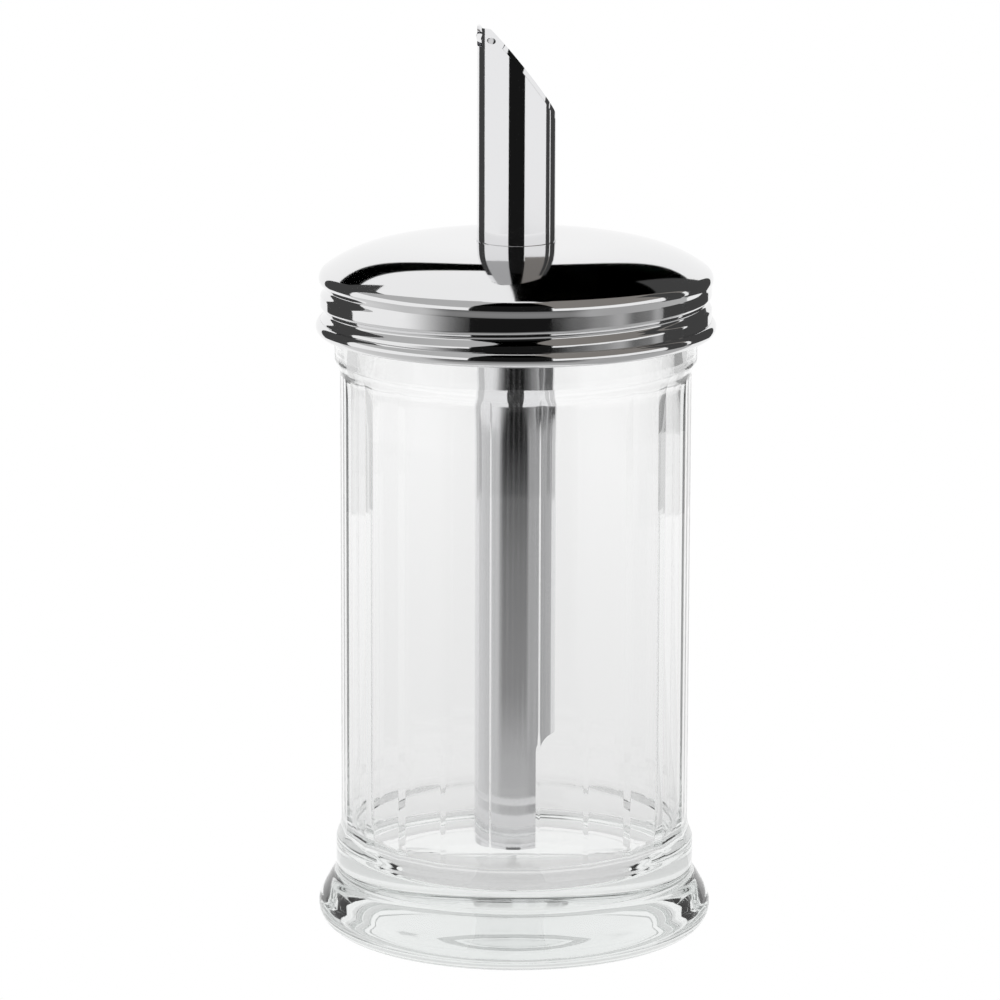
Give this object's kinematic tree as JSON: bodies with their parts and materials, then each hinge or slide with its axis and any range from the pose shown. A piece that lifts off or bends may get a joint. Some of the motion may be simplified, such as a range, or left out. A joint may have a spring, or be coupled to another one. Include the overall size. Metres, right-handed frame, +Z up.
{
  "type": "sugar dispenser with flap",
  "caption": "Faceted glass sugar dispenser with a screw-on steel lid and a slanted pouring tube closed by a small hinged flap.",
  "frame": {"origin": "centre of the foot's contact plane, on the jar's axis", "axes": "+Z up along the jar's axis, +X towards the side the slanted mouth of the tube faces, +Y along the flap's hinge pin"},
  "size_m": [0.0764, 0.0764, 0.175],
  "materials": {
    "jar_glass": "clear pressed glass, faintly green in its thick edges",
    "lid_steel": "polished stainless steel",
    "tube_steel": "polished stainless steel tube",
    "hinge_steel": "plain drawn wire",
    "seal": "soft white sealing ring"
  },
  "bodies": {
    "jar": {"glass_jar": "jar_glass"},
    "seal": {"lid_liner": "seal"},
    "lid": {"lid_shell": "lid_steel", "spout_tube": "tube_steel", "tube_collar": "tube_steel", "hinge_pin": "hinge_steel"},
    "flap": {"flap": "tube_steel"}
  },
  "joints": [
    {"name": "lid_rise", "type": "slide", "parent": "jar", "child": "seal", "axis": [0, 0, 1], "range_m": [0, 0.00575]},
    {"name": "lid_turn", "type": "hinge", "parent": "seal", "child": "lid", "pos_m": [0, 0, 0.12], "axis": [0, 0, 1], "range_deg": [0, 450]},
    {"name": "flap_hinge", "type": "hinge", "parent": "lid", "child": "flap", "pos_m": [-0.0062, 0, 0.17283], "axis": [0, -1, 0], "range_deg": [0, 105]}
  ],
  "couplings": [
    {"joint": "lid_rise", "follows": "lid_turn", "m_per_rad": 0.00073211}
  ]
}
